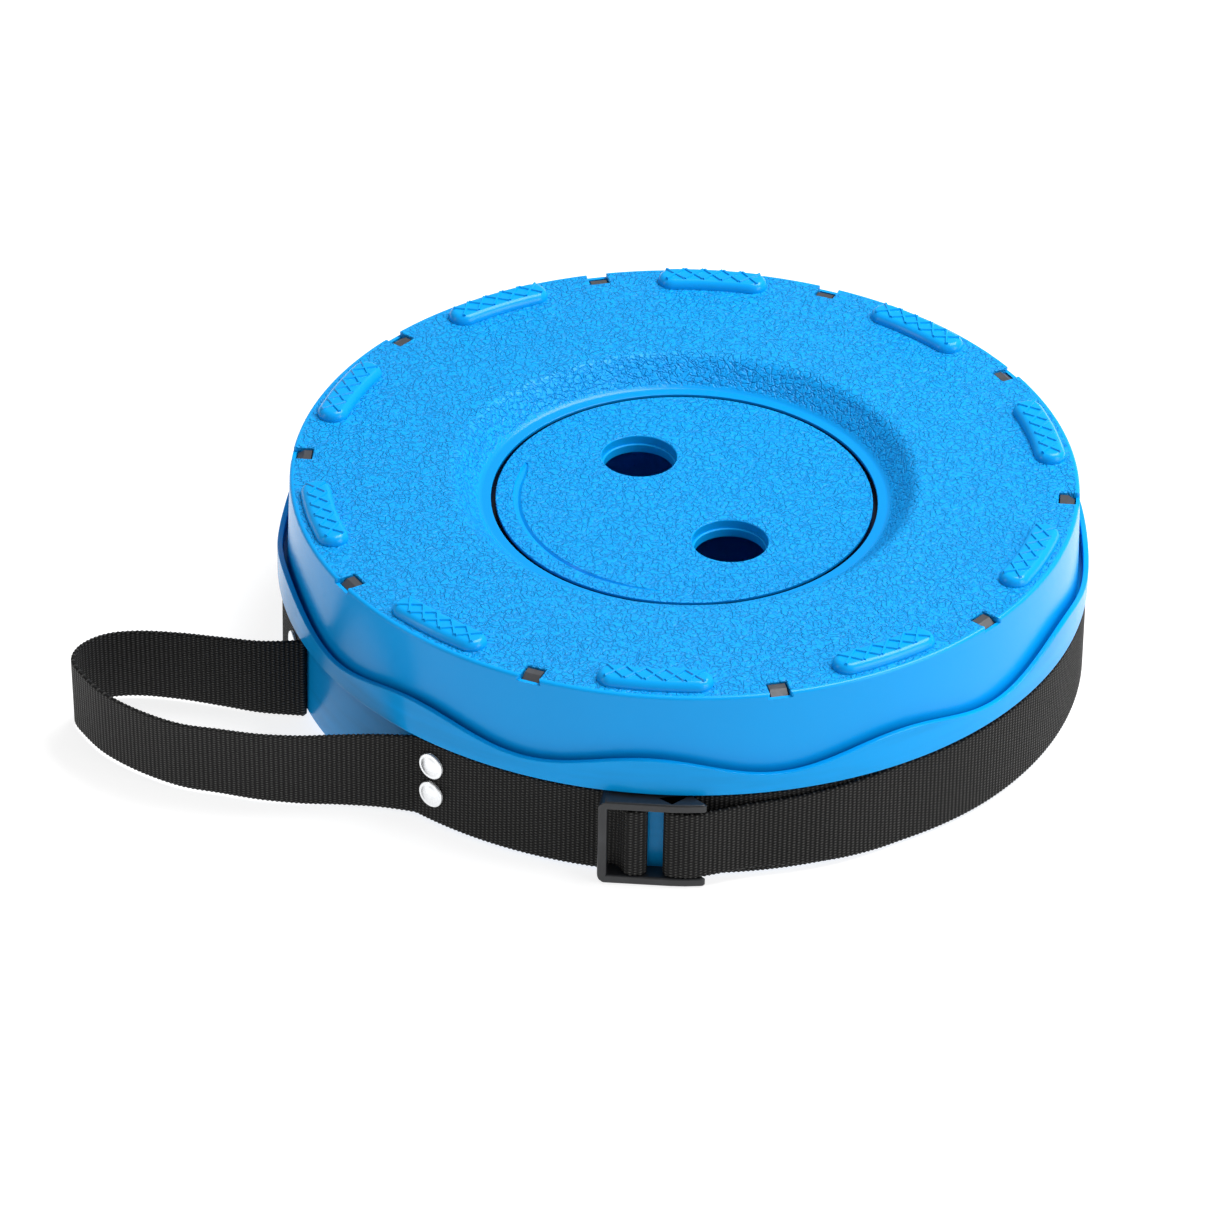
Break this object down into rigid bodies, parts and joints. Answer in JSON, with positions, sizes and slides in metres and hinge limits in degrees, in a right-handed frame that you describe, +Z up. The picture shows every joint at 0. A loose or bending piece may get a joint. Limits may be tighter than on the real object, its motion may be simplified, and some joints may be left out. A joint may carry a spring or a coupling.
{
  "type": "telescopic stool",
  "caption": "Collapsible round stool shown closed: nested telescoping rings under a dished seat, in a base cup with a webbing carry strap and buckle.",
  "frame": {"origin": "on the floor, on the stool's own axis, at the underside of the middle foot pad", "axes": "+Z up along the stool's axis; -Y is the side with the buckle; -X is the side with the carry handle"},
  "size_m": [0.3197, 0.263, 0.068],
  "materials": {
    "grained_blue": "moulded leather grain, satin",
    "gloss_blue": "smooth, glossy",
    "ring_black": "smooth, satin",
    "hook_black": "smooth, satin",
    "webbing": "coarse woven webbing with a slight sheen",
    "buckle_black": "smooth, satin",
    "rivet_steel": "nickel plated, lightly brushed",
    "foot_rubber": "matt"
  },
  "bodies": {
    "base": {"base_cup": "gloss_blue", "foot_pads": "foot_rubber", "base_tube": "gloss_blue", "strap_belt": "webbing", "strap_front": "webbing", "strap_handle": "webbing", "strap_buckle": "buckle_black", "rivets_front": "rivet_steel", "rivets_back": "rivet_steel"},
    "ring_01": {"telescopic_ring_01": "ring_black"},
    "ring_02": {"telescopic_ring_02": "ring_black"},
    "ring_03": {"telescopic_ring_03": "ring_black"},
    "ring_04": {"telescopic_ring_04": "ring_black"},
    "ring_05": {"telescopic_ring_05": "ring_black"},
    "ring_06": {"telescopic_ring_06": "ring_black"},
    "ring_07": {"telescopic_ring_07": "ring_black"},
    "ring_08": {"telescopic_ring_08": "ring_black"},
    "ring_09": {"telescopic_ring_09": "ring_black"},
    "ring_10": {"telescopic_ring_10": "ring_black"},
    "seat": {"seat_ring": "hook_black", "seat_cap": "grained_blue"},
    "lid": {"centre_lid": "grained_blue", "lid_backing_plate": "gloss_blue"}
  },
  "joints": [
    {"name": "ring_01_rise", "type": "slide", "parent": "base", "child": "ring_01", "axis": [0, 0, 1], "range_m": [0, 0.036]},
    {"name": "ring_02_rise", "type": "slide", "parent": "ring_01", "child": "ring_02", "axis": [0, 0, 1], "range_m": [0, 0.036]},
    {"name": "ring_03_rise", "type": "slide", "parent": "ring_02", "child": "ring_03", "axis": [0, 0, 1], "range_m": [0, 0.036]},
    {"name": "ring_04_rise", "type": "slide", "parent": "ring_03", "child": "ring_04", "axis": [0, 0, 1], "range_m": [0, 0.036]},
    {"name": "ring_05_rise", "type": "slide", "parent": "ring_04", "child": "ring_05", "axis": [0, 0, 1], "range_m": [0, 0.036]},
    {"name": "ring_06_rise", "type": "slide", "parent": "ring_05", "child": "ring_06", "axis": [0, 0, 1], "range_m": [0, 0.036]},
    {"name": "ring_07_rise", "type": "slide", "parent": "ring_06", "child": "ring_07", "axis": [0, 0, 1], "range_m": [0, 0.036]},
    {"name": "ring_08_rise", "type": "slide", "parent": "ring_07", "child": "ring_08", "axis": [0, 0, 1], "range_m": [0, 0.036]},
    {"name": "ring_09_rise", "type": "slide", "parent": "ring_08", "child": "ring_09", "axis": [0, 0, 1], "range_m": [0, 0.036]},
    {"name": "ring_10_rise", "type": "slide", "parent": "ring_09", "child": "ring_10", "axis": [0, 0, 1], "range_m": [0, 0.036]},
    {"name": "seat_twist", "type": "hinge", "parent": "ring_10", "child": "seat", "pos_m": [0, 0, 0.045], "axis": [0, 0, 1], "range_deg": [0, 8]},
    {"name": "lid_turn", "type": "hinge", "parent": "seat", "child": "lid", "pos_m": [0, 0, 0.0535], "axis": [0, 0, 1], "range_deg": [0, 30]}
  ],
  "couplings": [
    {"joint": "ring_02_rise", "follows": "ring_01_rise", "ratio": 1},
    {"joint": "ring_03_rise", "follows": "ring_01_rise", "ratio": 1},
    {"joint": "ring_04_rise", "follows": "ring_01_rise", "ratio": 1},
    {"joint": "ring_05_rise", "follows": "ring_01_rise", "ratio": 1},
    {"joint": "ring_06_rise", "follows": "ring_01_rise", "ratio": 1},
    {"joint": "ring_07_rise", "follows": "ring_01_rise", "ratio": 1},
    {"joint": "ring_08_rise", "follows": "ring_01_rise", "ratio": 1},
    {"joint": "ring_09_rise", "follows": "ring_01_rise", "ratio": 1},
    {"joint": "ring_10_rise", "follows": "ring_01_rise", "ratio": 1}
  ]
}
